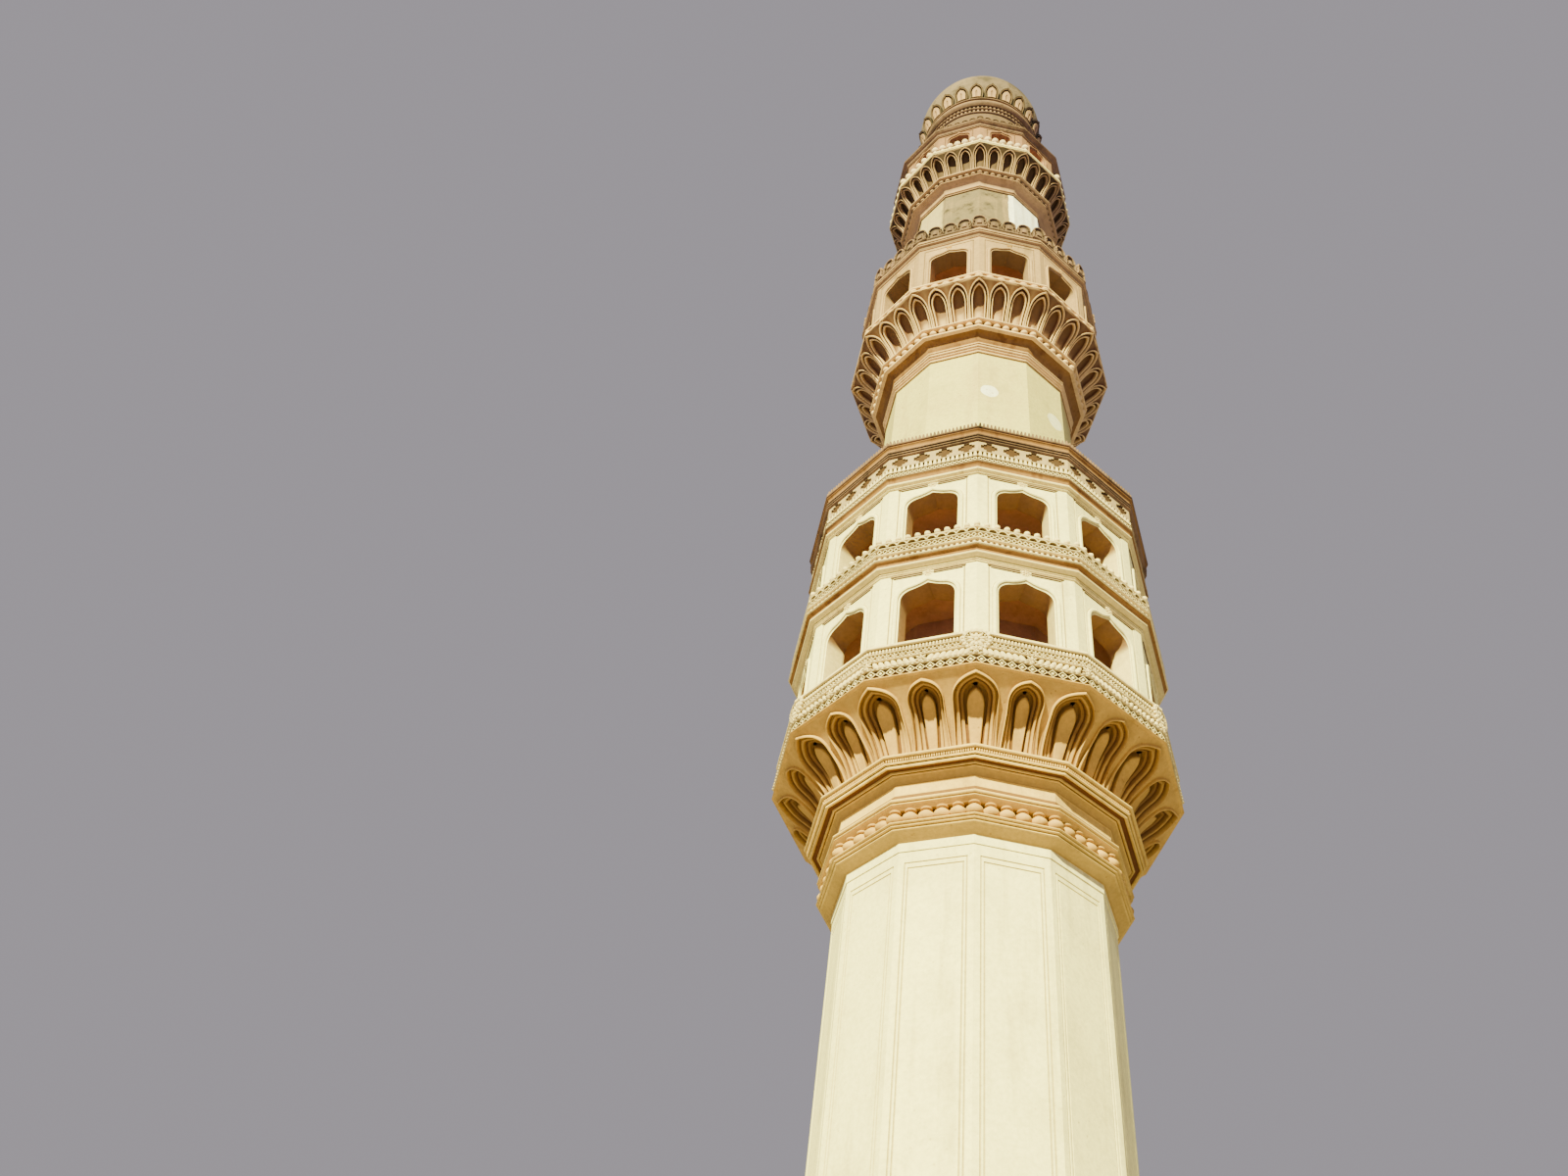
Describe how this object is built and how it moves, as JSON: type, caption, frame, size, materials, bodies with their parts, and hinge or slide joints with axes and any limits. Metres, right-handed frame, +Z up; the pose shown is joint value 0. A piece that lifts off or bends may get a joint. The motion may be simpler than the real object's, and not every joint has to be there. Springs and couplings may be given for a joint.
{
  "type": "minaret, scale model at 1:2",
  "caption": "Twelve-sided lime-plastered minaret with lotus corbels, arcaded galleries, a terrace, a belvedere and a small dome, at half size.",
  "frame": {"origin": "centre of the plinth's underside, at ground level", "axes": "+Z up along the tower's axis; a flat side of the twelve-sided plan faces each of +X, -X, +Y and -Y; the doorways are on +Y"},
  "size_m": [3.6106, 3.6106, 24.35],
  "materials": {
    "lime_cream": "pale cream lime plaster, trowelled and pitted, a little stained",
    "lime_ochre": "ochre lime plaster mouldings, worn, darker in the hollows",
    "lime_brown": "orange-brown stained lime plaster",
    "lime_weathered": "weathered grey-brown lime plaster with dark growth",
    "finial_metal": "dull weathered gilt metal"
  },
  "bodies": {
    "root": {"plinth": "lime_ochre", "lower_shaft_stage_1": "lime_cream", "lower_band": "lime_ochre", "lower_shaft_stage_2": "lime_cream", "bead_course": "lime_ochre", "corbel_1_cornice": "lime_ochre", "lotus_corbel_1": "lime_ochre", "balcony_1_floor": "lime_ochre", "balcony_1_parapet": "lime_cream", "gallery_1_core": "lime_ochre", "gallery_1_arcade_front": "lime_cream", "gallery_1_arcade_right": "lime_cream", "gallery_1_arcade_back": "lime_cream", "gallery_1_arcade_left": "lime_cream", "gallery_1_cornice": "lime_ochre", "gallery_2_parapet": "lime_cream", "gallery_2_core": "lime_ochre", "gallery_2_arcade_front": "lime_cream", "gallery_2_arcade_right": "lime_cream", "gallery_2_arcade_back": "lime_cream", "gallery_2_arcade_left": "lime_cream", "terrace_floor": "lime_ochre", "terrace_parapet": "lime_cream", "terrace_coping": "lime_ochre", "middle_shaft": "lime_cream", "middle_shaft_cornice": "lime_brown", "lotus_corbel_2": "lime_brown", "balcony_2_floor": "lime_brown", "gallery_3_core": "lime_ochre", "gallery_3_arcade_front": "lime_cream", "gallery_3_arcade_right": "lime_cream", "gallery_3_arcade_back": "lime_cream", "gallery_3_arcade_left": "lime_cream", "gallery_3_cornice": "lime_brown", "gallery_3_merlons": "lime_weathered", "upper_shaft": "lime_cream", "upper_shaft_cornice": "lime_brown", "lotus_corbel_3": "lime_weathered", "balcony_3_floor": "lime_weathered", "balcony_3_kerb": "lime_weathered", "belvedere_arcade_front": "lime_weathered", "belvedere_arcade_right": "lime_weathered", "belvedere_arcade_back": "lime_weathered", "belvedere_arcade_left": "lime_weathered", "belvedere_cornice": "lime_weathered", "belvedere_cresting": "lime_weathered", "dome_drum": "lime_weathered", "dome_petals": "lime_weathered", "dome": "lime_weathered", "finial": "finial_metal"}
  },
  "joints": []
}
